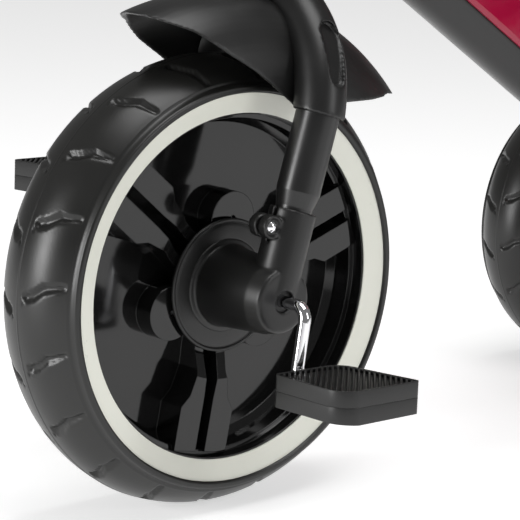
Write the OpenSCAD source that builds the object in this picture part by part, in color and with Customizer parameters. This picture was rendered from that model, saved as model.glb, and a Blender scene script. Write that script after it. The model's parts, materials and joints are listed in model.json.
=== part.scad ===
// Children's tricycle: pedal-driven front wheel in a raked fork with a moulded yoke and fender,
// a sloping main beam with a body cover, a padded seat and two free rear wheels.
// Forward is -Y, the rider's left is +X, the ground is Z = 0.

/* [Layout] */
// Distance between the front and rear axles
wheelbase = 550; // [480:5:660]
// Distance between the middle planes of the rear wheels
track = 300; // [270:5:380]
// Angle of the steering axis from the vertical
fork_rake = 16; // [12:0.5:20]
// Furthest that the handlebar turns to each side
steer_max = 45; // [30:1:60]

/* [Wheels] */
// Diameter of the front tyre
front_d = 300; // [260:5:360]
// Width of the front tyre
front_tyre_w = 77; // [70:1:84]
// Height of the front tyre above its trim ring
front_tyre_h = 21.8; // [18:0.2:26]
// Width of the front trim ring's face
front_ring_w = 13.7; // [10:0.1:17]
// Diameter of the rear tyres
rear_d = 230; // [200:5:276]
// Width of the rear tyres
rear_tyre_w = 60; // [50:1:72]
// Height of a rear tyre above its trim ring
rear_tyre_h = 17; // [14:0.2:21]
// Width of a rear trim ring's face
rear_ring_w = 10.5; // [8:0.1:13]
// Depth of the cone on the face of every trim ring
ring_cone = 4.6; // [3:0.1:6]
// Wall of the wheel discs' rim band
rim_wall = 3.5; // [2.5:0.1:5]
// Thickness of the wheel discs' web
web_t = 4; // [3:0.1:6]
// Width of one spoke bar at the rim
spoke_w = 18; // [14:0.5:20]

/* [Pedal drive] */
// Diameter of the bent crank rod
rod_d = 8; // [7:0.5:10]
// Length of the crank arms
crank_arm = 46; // [38:1:60]
// Distance from the middle plane to the crank arms
arm_x = 102; // [98:1:112]
// Angle of the left crank arm forward of straight down
crank_angle = 8; // [0:1:30]
// Length of a pedal along its spindle
pedal_len = 62; // [54:1:76]
// Depth of a pedal from front to back
pedal_depth = 58; // [50:1:70]
// Thickness of a pedal
pedal_t = 21; // [18:0.5:26]

/* [Fork] */
// Distance from the middle plane to the fork legs
leg_x = 68; // [67:0.5:72]
// Diameter of the fork legs
leg_d = 28.6; // [25:0.2:30]
// Diameter of the legs' narrowed lower ends
leg_neck_d = 24; // [20:0.5:25]
// Wall of the steel tubes
tube_wall = 1.6; // [1.2:0.1:2.5]
// Distance from the tyre's tread up to the fender's crown
fender_gap = 40; // [34:1:60]
// Width of the fender
fender_w = 104; // [96:1:105]
// Thickness of the fender
fender_t = 2.6; // [2:0.1:3.5]
// Distance of the yoke's lower ends below the top of the tyre, along the fork
yoke_drop = 29; // [24:1:38]
// Diameter of the steerer tube
steerer_d = 25.4; // [22:0.2:28.6]
// Radius of the round dust covers
dust_r = 44.4; // [38:0.2:50]
// Outer end of the hub housings, from the middle plane
hub_end_x = 80.7; // [79:0.1:86]

/* [Frame] */
// Diameter of the main beam
beam_d = 44; // [38:1:50]
// Length of the head tube
head_len = 90; // [70:1:110]
// Diameter of the head tube
head_d = 42; // [38:1:48]
// Length of the body cover along the beam
cover_len = 290; // [200:5:300]
// Height of the seat plate above the beam's middle line, at the front edge of the seat
seat_rise = 48; // [46:1:90]
// Width of the seat
seat_w = 230; // [200:5:270]
// Thickness of the seat shell
shell_t = 5; // [3:0.5:7]
// Diameter of the rear axle rod
axle_d = 12; // [10:0.5:14]

/* [Handlebar] */
// Overall width of the handlebar over its grips
bar_w = 400; // [360:5:460]
// Diameter of the handlebar tube
bar_d = 22.2; // [19:0.1:25.4]
// Diameter of the grips
grip_d = 31; // [28:0.5:36]
// Length of the grips
grip_len = 90; // [70:1:92]

/* [Hidden] */
$fn = 48;
gap = 0.3;              // free gap between pieces of different bodies
run = 0.05;             // radial running clearance
front_r = front_d / 2;
rear_r = rear_d / 2;
front_axle = [0, -(wheelbase + rear_r - front_r) / 2, front_r];
rear_axle = [0, (wheelbase - rear_r + front_r) / 2, rear_r];
rod_r = rod_d / 2;
leg_r = leg_d / 2;
steerer_r = steerer_d / 2;
axle_r = axle_d / 2;
bar_r = bar_d / 2;

// heights along the fork, from the wheel axle
fender_r = front_r + fender_gap;
yoke_low = front_r - yoke_drop;
leg_top_u = yoke_low + 12;
leg_low_u = 28;
socket_top_u = 58;
neck_r = leg_neck_d / 2;
socket_r = neck_r + 3.3;
crown_u = fender_r + 6;         // floor of the yoke's steerer socket
yoke_top_u = fender_r + 40;
head_low_u = yoke_top_u + 6;
head_top_u = head_low_u + head_len;
stem_low_u = head_top_u + 6;
bar_u = stem_low_u + 78;
beam_u = head_low_u + head_len * 0.44;

// the wheel hub and what fits beside it
hub_half = 19;                  // half length of the front wheel's hub
hub_r = 26;
dust_in_x = hub_half + 1.2;
dust_out_x = dust_in_x + 2.4;
bush_r = 7;

// the main beam, from the head tube to the rear axle
head_point = front_axle + beam_u * [0, sin(fork_rake), cos(fork_rake)];
beam_vec = rear_axle - head_point;
beam_len = norm(beam_vec);
beam_tilt = -atan2(beam_vec[1], beam_vec[2]);
beam_r = beam_d / 2;
axle_tube_r = 16;
axle_tube_half = track / 2 - 38;
cover_start = head_d / 2 + 24;

// the seat
seat_back = 140;                // from the rear axle forward to the seat's middle
seat_len = 210;
beam_slope = -beam_vec[2] / beam_vec[1];
seat_y = rear_axle[1] - seat_back;
seat_z = rear_axle[2] + (seat_back + seat_len / 2) * beam_slope + seat_rise;
post_r = 16;
plate_t = 4;
back_h = 235;
back_lean = 14;
pad_t = 26;
pad_w = seat_w - 2 * shell_t - 6;

// the rear wheels
rear_hub_half = 20;
rear_hub_r = 17;
rear_bush_r = 9;
cap_lap = 4;                    // of the hub caps over the hubs
joint_gap = 0.05;               // between the joint face of a rear disc half and the wheel's middle
nut_x = track / 2 + rear_hub_half + gap;

rubber = [0.11, 0.11, 0.12];
gloss = [0.05, 0.05, 0.06];
cream = [0.92, 0.92, 0.87];
charcoal = [0.20, 0.20, 0.21];
crimson = [0.62, 0.04, 0.18];
steel = [0.80, 0.80, 0.82];
fabric = [0.13, 0.13, 0.14];

// ---------- shared shapes ----------

// Points of an arc about (cx, cy), from angle a0 to a1
function arc(cx, cy, r, a0, a1, n = 8) =
    [for (i = [0:n]) let (a = a0 + (a1 - a0) * i / n) [cx + r * cos(a), cy + r * sin(a)]];

// Each point of a list with its second coordinate turned over, in reverse order
function flipped(p) = [for (i = [len(p) - 1:-1:0]) [p[i][0], -p[i][1]]];

// Turns a shape drawn along Z so that it lies along X
module along_x() {
    rotate([0, 90, 0]) children();
}

// The frame of the fork: Z runs up the steering axis from the front axle
module at_fork(x = 0, u = 0) {
    translate(front_axle) rotate([-fork_rake, 0, 0]) translate([x, 0, u]) children();
}

// The frame of the beam: Z runs from the head tube to the rear axle, -Y is its upper side
module at_beam(s = 0) {
    translate(head_point) rotate([beam_tilt, 0, 0]) translate([0, 0, s]) children();
}

// The same shape on the left, and mirrored on the right
module both_sides() {
    for (side = [0, 1]) mirror([side, 0, 0]) children();
}

module tube(r, h, wall) {
    difference() {
        cylinder(r = r, h = h);
        translate([0, 0, -1]) cylinder(r = r - wall, h = h + 2);
    }
}

// A rod of radius r between two points
module rod(a, b, r) {
    v = b - a;
    translate(a)
        rotate([0, acos(v[2] / norm(v)), atan2(v[1], v[0])])
            cylinder(r = r, h = norm(v));
}

function unit(v) = v / norm(v);
function turn(a, b, c) = acos(unit(b - a) * unit(c - b));

// Length that the bend at point i takes from the straights beside it
function bend_cut(p, i, bend) =
    i == 0 || i == len(p) - 1 ? 0 : bend * tan(turn(p[i - 1], p[i], p[i + 1]) / 2);

bend_swell = 0.1;               // a rod's bends are this much fuller than its straights
bend_lap = 1;                   // the straights run this far into the bends

// Bend of a rod at b, on its way from a to c
module elbow(a, b, c, r, bend) {
    d = unit(b - a);
    m = unit(unit(c - b) - (d * unit(c - b)) * d);
    n = cross(d, m);
    o = b - d * bend * tan(turn(a, b, c) / 2) + m * bend;
    multmatrix([
        [-m[0], d[0], n[0], o[0]],
        [-m[1], d[1], n[1], o[1]],
        [-m[2], d[2], n[2], o[2]]
    ])
        rotate_extrude(angle = turn(a, b, c)) translate([bend, 0]) circle(r = r + bend_swell);
}

// Rod through a list of points, bent at each one
module bent_rod(p, r, bend) {
    last = len(p) - 1;
    for (i = [0:last - 1]) {
        d = unit(p[i + 1] - p[i]);
        start = bend_cut(p, i, bend) - (i == 0 ? 0 : bend_lap);
        end = bend_cut(p, i + 1, bend) - (i + 1 == last ? 0 : bend_lap);
        rod(p[i] + d * start, p[i + 1] - d * end, r);
        if (i > 0)
            elbow(p[i - 1], p[i], p[i + 1], r, bend);
    }
}

// ---------- wheels ----------

// One side of a tyre's section, as [radius, offset] pairs from the crown to the rim
function tyre_side(r, w, h) =
    let (crown = w * 0.585, a = asin(w * 0.43 / crown), ring_r = r - h)
    concat(
        [for (i = [0:8]) let (t = a * i / 8) [r - crown + crown * cos(t), crown * sin(t)]],
        [[r - h * 0.70, w * 0.452], [r - h * 0.85, w * 0.488], [ring_r + 0.5, w / 2]],
        [[ring_r + 0.5, ring_back(w)], [seat_r(ring_r), ring_back(w)]]
    );

// Offset of the trim rings' back faces and radius of the tyre's seat on the rim
function ring_back(w) = w / 2 - ring_cone - 2.9;
function seat_r(ring_r) = ring_r - 10;

module tyre(r, w, h) {
    side = tyre_side(r, w, h);
    color(rubber)
        along_x() rotate_extrude($fn = 96)
            polygon(concat(side, flipped(side)));
}

// Trim ring on the +X side: a cone that falls towards the wheel's middle
module trim_ring(r, w, h, ring_w) {
    out_r = r - h;
    back = ring_back(w);
    color(cream)
        along_x() rotate_extrude($fn = 96)
            polygon([
                [out_r, back], [out_r, back + ring_cone + 0.8],
                [out_r - ring_w, back + 0.8], [out_r - ring_w, back]
            ]);
}

// Half widths of a double spoke bar's inner and outer edges, from the hub to the rim
function spoke_edge(r0, r1, inner, outer) =
    concat(
        [for (p = inner) [r0 + (r1 - r0) * p[0], p[1]]],
        [for (i = [len(outer) - 1:-1:0]) [r0 + (r1 - r0) * outer[i][0], outer[i][1]]]
    );

// Double spoke bar along +X: narrow at its neck and flared towards the rim
module spoke_pair(r0, r1, h) {
    half_gap = 4;
    far = half_gap + spoke_w;
    inner = [[0, half_gap * 1.65], [0.37, half_gap * 1.25], [0.57, half_gap], [1, half_gap]];
    outer = [[0, far * 0.64], [0.37, far * 0.55], [0.57, far * 0.73], [0.66, far], [1, far]];
    for (side = [0, 1])
        mirror([0, side, 0]) linear_extrude(h) polygon(spoke_edge(r0, r1, inner, outer));
}

boss_at = 0.34;                 // radius of the screw bosses over that of the trim ring
boss_size = 0.14;               // radius of one boss over that of the trim ring
spoke_top = 0.81;               // height of the spokes over that of the rim's lip
dish_w = 16;                    // width of the slope that dishes the spokes towards the hub

// Angles of the spokes and of the bosses between them, about the axle
spoke_angles = [-70, 50, 170];
boss_angles = [-10, 110, -130];

// One moulded half of a wheel disc, its joint face at X = 0 and its open side at +X. The
// spokes are dished round the hub: dish is the dish's radius and the height of its floor.
module disc_half(r, w, h, ring_w, hub_radius, hub_len, bore, dish) {
    ring_r = r - h;
    rim_out = seat_r(ring_r) - 0.1;
    rim_in = ring_r - ring_w - 1;
    lip_x = ring_back(w) - 0.1;
    top = lip_x * spoke_top;
    color(gloss)
        difference() {
            union() {
                along_x() rotate_extrude($fn = 96)
                    polygon([
                        [0, 0], [rim_out, 0], [rim_out, lip_x], [rim_in, lip_x],
                        [rim_in, lip_x * 0.72], [rim_in - rim_wall, lip_x * 0.70],
                        [rim_in - rim_wall, web_t + 4], [rim_in - rim_wall - 5, web_t],
                        [hub_radius + 4, web_t], [hub_radius, hub_len - 5],
                        [hub_radius, hub_len], [0, hub_len]
                    ]);
                difference() {
                    for (a = spoke_angles)
                        rotate([a, 0, 0]) rotate([0, -90, 0]) mirror([0, 0, 1])
                            spoke_pair(hub_radius - 1, rim_in - rim_wall + 1, top);
                    along_x() rotate_extrude($fn = 96)
                        polygon([
                            [0, dish[1]], dish, [dish[0] + dish_w, top + 0.1], [0, top + 0.1]
                        ]);
                }
                for (a = boss_angles)
                    rotate([a, 0, 0]) translate([0, 0, ring_r * boss_at]) along_x()
                        cylinder(r = ring_r * boss_size, h = boss_h(dish));
            }
            translate([-1, 0, 0]) along_x() cylinder(r = bore, h = hub_len + 2);
            // screw holes through the bosses
            for (a = boss_angles)
                rotate([a, 0, 0]) translate([-1, 0, ring_r * boss_at]) along_x()
                    cylinder(r = screw_r, h = hub_len + 2);
        }
}

screw_r = 2;
screw_sink = 2;                 // depth of the screws' ends below the bosses' faces
front_dish = [dust_r + 2, hub_half - 1];
rear_dish = [rear_hub_r + 16, rear_hub_half - cap_lap - 1];
function boss_h(dish) = dish[1] + 0.7;

// Screws through the bosses of both halves
module disc_screws(r, h, dish) {
    half = boss_h(dish) - screw_sink;
    color(steel)
        for (a = boss_angles)
            rotate([a, 0, 0]) translate([-half, 0, (r - h) * boss_at]) along_x()
                cylinder(r = screw_r, h = 2 * half);
}

module front_tyre() {
    translate(front_axle) tyre(front_r, front_tyre_w, front_tyre_h);
}

module front_disc(side) {
    translate(front_axle) mirror([side, 0, 0])
        difference() {
            disc_half(front_r, front_tyre_w, front_tyre_h, front_ring_w, hub_r, hub_half, rod_r + run,
                      front_dish);
            // pocket of the drive plate
            if (side == 0)
                translate([plate_x - 0.1, 0, 0]) along_x()
                    cylinder(r = drive_r + 0.1, h = hub_half, $fn = 6);
        }
}

module front_disc_left() { front_disc(0); }
module front_disc_right() { front_disc(1); }

module front_wheel_screws() {
    translate(front_axle) disc_screws(front_r, front_tyre_h, front_dish);
}

module front_ring_left() {
    translate(front_axle) trim_ring(front_r, front_tyre_w, front_tyre_h, front_ring_w);
}

module front_ring_right() {
    translate(front_axle) mirror([1, 0, 0])
        trim_ring(front_r, front_tyre_w, front_tyre_h, front_ring_w);
}

// ---------- pedal drive ----------

drive_r = 17;
plate_x = 13;

// Steel hexagon on the crank rod that turns the front wheel
module drive_plate() {
    color(steel)
        translate(front_axle + [plate_x, 0, 0]) along_x()
            difference() {
                cylinder(r = drive_r, h = 4, $fn = 6);
                translate([0, 0, -1]) cylinder(r = rod_r, h = 6);
            }
}

bend_r = 9;
pedal_in_x = arm_x + bend_r + 3;
spindle_end = pedal_in_x + pedal_len - 6;

// Bend points of the crank rod, with the left arm straight down
crank_points = [
    [-spindle_end, 0, crank_arm], [-arm_x, 0, crank_arm], [-arm_x, 0, 0],
    [arm_x, 0, 0], [arm_x, 0, -crank_arm], [spindle_end, 0, -crank_arm]
];

module crankshaft() {
    color(steel)
        translate(front_axle) rotate([-crank_angle, 0, 0])
            bent_rod(crank_points, rod_r, bend_r);
}

// Outline of a pedal: sharp at two opposite corners, round at the others, with the outer rear
// corner drawn out to the back
module pedal_plan() {
    a = pedal_len / 2;
    b = pedal_depth / 2;
    sharp = 3;
    blunt = 11;
    polygon(concat(
        arc(-a + sharp, -b + sharp, sharp, 180, 270, 4),
        arc(a - blunt - 2, -b + 4 + blunt, blunt, 275, 355, 8),
        arc(a - sharp, b + pedal_skew - sharp, sharp, 0, 90, 4),
        arc(-a + blunt + 2, b - 4 - blunt, blunt, 95, 175, 8)
    ));
}

// Places of a pedal's two screws, clear of the spindle
pedal_screw_at = [[-pedal_len * 0.28, pedal_depth * 0.22], [pedal_len * 0.28, -pedal_depth * 0.22]];
collar_r = 7;
collar_t = 2;
collar_x = pedal_len / 2 - 16;
pedal_skew = 8;

// One half of a pedal, above (1) or below (-1) its spindle
module pedal_half(level) {
    color(gloss)
        difference() {
            translate([0, 0, level > 0 ? 0 : -pedal_t / 2])
                linear_extrude(pedal_t / 2) pedal_plan();
            translate([-pedal_len / 2 - 1, 0, 0])
                along_x() cylinder(r = rod_r + run, h = pedal_len - 4);
            translate([collar_x - gap, 0, 0])
                along_x() cylinder(r = collar_r + gap, h = collar_t + 2 * gap);
            for (p = pedal_screw_at)
                translate([p[0], p[1], -pedal_t]) cylinder(r = 1.5, h = pedal_t + 6);
        }
}

// Screws that draw the halves of a pedal together, from below
module pedal_screws() {
    color(steel)
        for (p = pedal_screw_at)
            translate([p[0], p[1], -pedal_t / 2 + 1]) cylinder(r = 1.5, h = pedal_t / 2 + 5);
}

// Push-on collars that keep the pedals on the crank rod, inside the pedals
module pedal_collars() {
    color(steel)
        for (side = [1, -1])
            translate(front_axle + side * pedal_mid) rotate([0, 0, side > 0 ? 0 : 180])
                translate([collar_x, 0, 0]) along_x() difference() {
                    cylinder(r = collar_r, h = collar_t);
                    translate([0, 0, -1]) cylinder(r = rod_r, h = collar_t + 2);
                }
}

// The left pedal's middle; the right one is the same pedal turned half a turn
pedal_mid = [pedal_in_x + pedal_len / 2, -crank_arm * sin(crank_angle), -crank_arm * cos(crank_angle)];

module pedal_left_upper() { translate(front_axle + pedal_mid) pedal_half(1); }
module pedal_left_lower() { translate(front_axle + pedal_mid) pedal_half(-1); }
module pedal_left_screws() { translate(front_axle + pedal_mid) pedal_screws(); }
module pedal_right_screws() { translate(front_axle - pedal_mid) rotate([0, 0, 180]) pedal_screws(); }
module pedal_right_upper() { translate(front_axle - pedal_mid) rotate([0, 0, 180]) pedal_half(1); }
module pedal_right_lower() { translate(front_axle - pedal_mid) rotate([0, 0, 180]) pedal_half(-1); }

// ---------- fork ----------

// Steel tube with a narrowed lower end and a hole at the back for the yoke's screw
module fork_leg() {
    color(charcoal)
        at_fork(leg_x, 0) difference() {
            rotate_extrude()
                polygon([
                    [neck_r - tube_wall, leg_low_u], [neck_r, leg_low_u], [neck_r, socket_top_u + 2],
                    [leg_r, socket_top_u + 12], [leg_r, leg_top_u], [leg_r - tube_wall, leg_top_u],
                    [leg_r - tube_wall, socket_top_u + 12], [neck_r - tube_wall, socket_top_u + 2]
                ]);
            translate([0, leg_r - 6, yoke_screw_u]) rotate([-90, 0, 0]) cylinder(r = yoke_screw_r, h = 12);
        }
}

module fork_leg_left() { fork_leg(); }
module fork_leg_right() { mirror([1, 0, 0]) fork_leg(); }

clamp_v = socket_r + 4.5;       // the clamp bolt passes this far in front of the leg's axis
clamp_u = 44;
clamp_x0 = leg_x - 8;
clamp_len = 16;
bolt_r = 2.5;

// Moulded fork end: a tapered hub with a raked socket for the leg and a clamp boss
module hub_housing() {
    color(charcoal)
        difference() {
            union() {
                translate(front_axle) along_x() rotate_extrude()
                    polygon(concat(
                        [[0, dust_in_x], [31, dust_in_x], [31, dust_out_x + 1], [27, dust_out_x + 1.5]],
                        [[23.5, hub_end_x - 12]],
                        arc(18, hub_end_x - 4, 4, 40, 90, 4),
                        [[0, hub_end_x]]
                    ));
                at_fork(leg_x, 0) cylinder(r = socket_r, h = socket_top_u);
                at_fork(clamp_x0, clamp_u) translate([0, -clamp_v, 0]) along_x()
                    cylinder(r = 7.8, h = clamp_len);
            }
            at_fork(leg_x, leg_low_u) cylinder(r = neck_r + 0.05, h = socket_top_u);
            translate(front_axle) along_x() cylinder(r = bush_r, h = hub_end_x + 5);
            // slit that the clamp bolt draws together
            at_fork(leg_x - 1.2, clamp_u - 10) translate([0, -clamp_v - 9, 0])
                cube([2.4, clamp_v, 40]);
            at_fork(clamp_x0 - 1, clamp_u) translate([0, -clamp_v, 0]) along_x()
                cylinder(r = bolt_r, h = clamp_len + 2);
            at_fork(clamp_x0 + clamp_len - 2.5, clamp_u) translate([0, -clamp_v, 0]) along_x()
                cylinder(r = 5.6, h = 4);
        }
}

module hub_housing_left() { hub_housing(); }
module hub_housing_right() { mirror([1, 0, 0]) hub_housing(); }

// Round covers between the hub housings and the wheel
module dust_cover() {
    color(gloss)
        translate(front_axle) along_x() rotate_extrude($fn = 96)
            polygon([
                [31, dust_in_x + 0.6], [dust_r - 3, dust_in_x], [dust_r, dust_in_x], [dust_r, dust_out_x],
                [dust_r - 3, dust_out_x + 0.6], [31, dust_out_x + 0.6]
            ]);
}

module dust_covers() {
    both_sides() dust_cover();
}

// Nylon bushes that carry the crank rod
module crank_bushes() {
    color("white")
        both_sides() translate(front_axle + [dust_in_x + 4, 0, 0]) along_x()
            difference() {
                cylinder(r = bush_r, h = hub_end_x - dust_in_x - 6);
                translate([0, 0, -1]) cylinder(r = rod_r + run, h = hub_end_x);
            }
}

// Bolts of the hub housings' clamps, each with a domed head sunk in the boss
module clamp_bolts() {
    color(steel)
        both_sides() at_fork(clamp_x0 - 4, clamp_u) translate([0, -clamp_v, 0]) along_x() {
            cylinder(r = bolt_r - 0.05, h = clamp_len + 2);
            translate([0, 0, clamp_len + 1.5]) rotate_extrude()
                polygon(concat([[0, 0], [4.6, 0]], arc(0, -2.2, 5.1, 26, 90, 6)));
        }
}

module clamp_nuts() {
    color(steel)
        both_sides() at_fork(clamp_x0 - 4, clamp_u) translate([0, -clamp_v, 0]) along_x()
            difference() {
                cylinder(r = 4.6, h = 4, $fn = 6);
                translate([0, 0, -1]) cylinder(r = bolt_r - 0.05, h = 6);
            }
}

fender_rise = 55;               // from the fender's widest line to its crown

// Section of the fender as [radius, offset] pairs, drawn in by t for its inner face
function fender_side(t) =
    let (h = fender_w / 2 - t, rise = fender_rise - t, mid = fender_r - fender_rise)
    concat(
        [for (i = [0:16]) let (a = 90 - 90 * i / 16) [mid + rise * sin(a), h * cos(a)]],
        [[70, h]]
    );

module fender_form(t) {
    side = fender_side(t);
    along_x() rotate_extrude($fn = 96)
        polygon(concat(side, flipped(side)));
}

// The part of the fork's side view that the fender fills, above its two lower edges
module fender_view() {
    low = yoke_low;
    tip = fender_r * 0.6;
    rotate([90, 0, 90]) translate([0, 0, -fender_w / 2 - 2]) linear_extrude(fender_w + 4)
        polygon([
            [0, low], [tip * 0.26, low + 11], [tip * 0.40, low + 16], [tip * 0.57, low + 21],
            [tip * 0.77, low + 29], [tip * 0.92, low + 31], [tip, low + 32],
            [tip + 8, fender_r + 10], [-tip - 8, fender_r + 10],
            [-tip, low + 32], [-tip * 0.92, low + 31], [-tip * 0.77, low + 29],
            [-tip * 0.57, low + 21], [-tip * 0.40, low + 16], [-tip * 0.26, low + 11]
        ]);
}

module front_fender() {
    color(charcoal)
        at_fork() difference() {
            intersection() {
                fender_form(0);
                fender_view();
            }
            fender_form(fender_t);
        }
}

arm_r = leg_r + 2.7;            // radius of a yoke arm, a sleeve round the leg
arch_r = 92;                    // radius of the arms' middle line
arch_x = leg_x + 1 - arch_r * cos(9);
arch_u = yoke_low - arch_r * sin(9);
recess_u = [yoke_low + 20, yoke_low + 60];
recess_depth = 4.5;

// The left arm: a round arch that leans in from the leg to the steerer
module yoke_arm() {
    translate([arch_x, 0, arch_u]) rotate([90, 0, 0])
        rotate_extrude(angle = 76, $fn = 96) translate([arch_r, 0]) circle(r = arm_r);
}

// Teardrop recess in the outer face of the left arm
module arm_recess() {
    low_r = 6;
    high_r = 8.5;
    difference() {
        hull()
            for (p = [[recess_u[0] + low_r, low_r], [recess_u[1] - high_r, high_r]])
                translate([arch_x, 0, p[0]]) along_x() cylinder(r = p[1], h = 160, $fn = 32);
        translate([arch_x, 40, arch_u]) rotate([90, 0, 0])
            cylinder(r = arch_r + arm_r - recess_depth, h = 80, $fn = 96);
    }
}

// Moulded yoke: takes the legs below and the steerer above, and rides over the fender
module fork_yoke() {
    color(charcoal)
        at_fork() difference() {
            union() {
                both_sides() yoke_arm();
                translate([0, 0, fender_r]) cylinder(r1 = 27, r2 = 25, h = yoke_top_u - fender_r);
            }
            translate([-120, -60, yoke_low - 60]) cube([240, 120, 60]);
            both_sides() translate([leg_x, 0, yoke_low - 1])
                cylinder(r = leg_r + 0.05, h = leg_top_u - yoke_low + 1);
            translate([0, 0, crown_u]) cylinder(r = steerer_r + 0.02, h = 60);
            both_sides() arm_recess();
            both_sides() translate([leg_x, leg_r - 6, yoke_screw_u]) rotate([-90, 0, 0])
                cylinder(r = yoke_screw_r, h = 30);
        }
}

yoke_screw_r = 2;
yoke_screw_u = yoke_low + 6;

// Screws that hold the legs in the yoke from behind, under flush heads
module yoke_screws() {
    color(steel)
        both_sides() at_fork(leg_x, yoke_screw_u) translate([0, leg_r - 6, 0]) rotate([-90, 0, 0])
            cylinder(r = yoke_screw_r, h = 8.5);
}

module steerer_tube() {
    color(steel)
        at_fork(0, crown_u) tube(steerer_r, bar_u - 24 - crown_u, tube_wall);
}

ring_h = 5.8;
stop_half = 10;                 // half angle of the stop lug
stop_h = 6;

// Sector of the head tube's wall, centred on the front, from z to z + h
module wall_sector(half, r0, r1, h) {
    rotate([0, 0, -90 - half])
        rotate_extrude(angle = 2 * half) translate([r0, 0]) square([r1 - r0, h]);
}

// Rings above and below the head tube: the lower one has the lug of the steering stop
module headset_rings() {
    color(steel)
        for (u = [yoke_top_u, head_top_u + 0.2])
            at_fork(0, u) {
                difference() {
                    cylinder(r = head_d / 2 + 2, h = ring_h);
                    translate([0, 0, -1]) cylinder(r = steerer_r + 0.02, h = ring_h + 2);
                }
                if (u == yoke_top_u)
                    translate([0, 0, ring_h - 0.1])
                        wall_sector(stop_half, head_d / 2 - 3.6, head_d / 2 - 0.3, stop_h);
            }
}

// ---------- handlebar ----------

stem_r = 18;
clamp_half = 24;

module handlebar_stem() {
    color(charcoal)
        at_fork() difference() {
            union() {
                translate([0, 0, stem_low_u])
                    cylinder(r1 = stem_r + 2, r2 = stem_r, h = bar_u - stem_low_u);
                translate([-clamp_half, 0, bar_u]) along_x() cylinder(r = bar_r + 6, h = 2 * clamp_half);
            }
            translate([0, 0, stem_low_u - 1])
                cylinder(r = steerer_r + 0.02, h = bar_u - 24 - stem_low_u + 1);
            translate([-clamp_half - 1, 0, bar_u]) along_x()
                cylinder(r = bar_r + 0.05, h = 2 * clamp_half + 2);
            // bolts of the clamp, from the front
            for (x = [-12, 12])
                translate([x, -40, bar_u + bar_r + 2.8]) rotate([-90, 0, 0]) {
                    cylinder(r = 2, h = 60);
                    cylinder(r = 4.3, h = 28);
                }
        }
}

module stem_bolts() {
    color(steel)
        for (x = [-12, 12])
            at_fork(x, bar_u + bar_r + 2.8) translate([0, -12, 0]) rotate([-90, 0, 0]) {
                cylinder(r = 1.95, h = 20);
                translate([0, 0, -3]) cylinder(r = 4, h = 3);
            }
}

// Bend points of the handlebar's left half, and the end of its grip, in the bar's own plane
bar_half = [[46, 0, 0], [94, 0, 56], [bar_w / 2 - 3, 0, 68]];
bar_points = concat([for (i = [2:-1:0]) [-bar_half[i][0], 0, bar_half[i][2]]], bar_half);
bar_bend = 30;
bar_end = unit(bar_half[2] - bar_half[1]);
bar_tilt = 28;                  // of the bar's plane, back from upright
bar_origin = front_axle + bar_u * [0, sin(fork_rake), cos(fork_rake)];

module at_bar() {
    translate(bar_origin) rotate([-bar_tilt, 0, 0]) children();
}

module handlebar() {
    color(charcoal)
        at_bar() difference() {
            bent_rod(bar_points, bar_r, bar_bend);
            both_sides()
                rod(bar_half[2] - bar_end * (grip_len - 6), bar_half[2] + bar_end, bar_r - tube_wall);
        }
}

// Soft grip over the last straight of the handlebar, closed at its end
module grip() {
    b = bar_half[2];
    dir = bar_end;
    color(rubber)
        at_bar() difference() {
            union() {
                rod(b - dir * (grip_len - 4), b + dir * 3, grip_d / 2);
                rod(b - dir * grip_len, b - dir * (grip_len - 6), grip_d / 2 + 3);
                rod(b - dir * 2, b + dir * 3, grip_d / 2 + 2.5);
            }
            rod(b - dir * (grip_len + 5), b, bar_r + 0.05);
        }
}

module grip_left() { grip(); }
module grip_right() { mirror([1, 0, 0]) grip(); }

// ---------- frame ----------

// Tube that the steerer turns in, notched in front for the steering stop
module head_tube() {
    color(charcoal)
        at_fork(0, head_low_u) difference() {
            tube(head_d / 2, head_len, 4);
            translate([0, 0, -1])
                wall_sector(steer_max + stop_half + 1, head_d / 2 - 6, head_d / 2 + 3, stop_h + 1.5);
        }
}

// Flanged nylon bushes pressed into both ends of the head tube
module headset_bushes() {
    color("white")
        for (u = [head_low_u, head_top_u - 16])
            at_fork(0, u) difference() {
                cylinder(r = head_d / 2 - 4, h = 16);
                translate([0, 0, -1]) cylinder(r = steerer_r + run, h = 18);
            }
}

module main_beam() {
    color(charcoal)
        difference() {
            at_beam() tube(beam_r, beam_len, 2);
            at_fork(0, head_low_u - 10) cylinder(r = head_d / 2, h = head_len + 20);
            translate(rear_axle - [60, 0, 0]) along_x() cylinder(r = axle_tube_r, h = 120);
        }
}

// Section of the body cover: round lower lips beside the beam, a ridge on each side and a crown
module cover_section(t) {
    polygon([
        [beam_r + 3.2 - t, 2], [beam_r + 3.6 - t, -2], [beam_r - 1 - t, -14],
        [beam_r - 11 - t, -beam_r - 9 + t], [-beam_r + 11 + t, -beam_r - 9 + t],
        [-beam_r + 1 + t, -14], [-beam_r - 3.6 + t, -2], [-beam_r - 3.2 + t, 2]
    ]);
}

module body_cover() {
    color(crimson)
        difference() {
            at_beam(cover_start) linear_extrude(cover_len) cover_section(0);
            at_beam(cover_start + 3) linear_extrude(cover_len - 6) cover_section(2.6);
            at_beam(cover_start - 1) cylinder(r = beam_r + 0.1, h = cover_len + 2);
        }
}

module rear_axle_tube() {
    color(charcoal)
        translate(rear_axle - [axle_tube_half, 0, 0]) along_x()
            tube(axle_tube_r, 2 * axle_tube_half, axle_tube_r - axle_r - 0.1);
}

module rear_axle_rod() {
    color(steel)
        translate(rear_axle - [nut_x + 9, 0, 0]) along_x() cylinder(r = axle_r, h = 2 * nut_x + 18);
}

module axle_spacers() {
    spacer_len = track / 2 - rear_hub_half - axle_tube_half - gap;
    color(steel)
        both_sides() translate(rear_axle + [axle_tube_half, 0, 0]) along_x()
            tube(axle_r + 5, spacer_len, 4.95);
}

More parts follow.
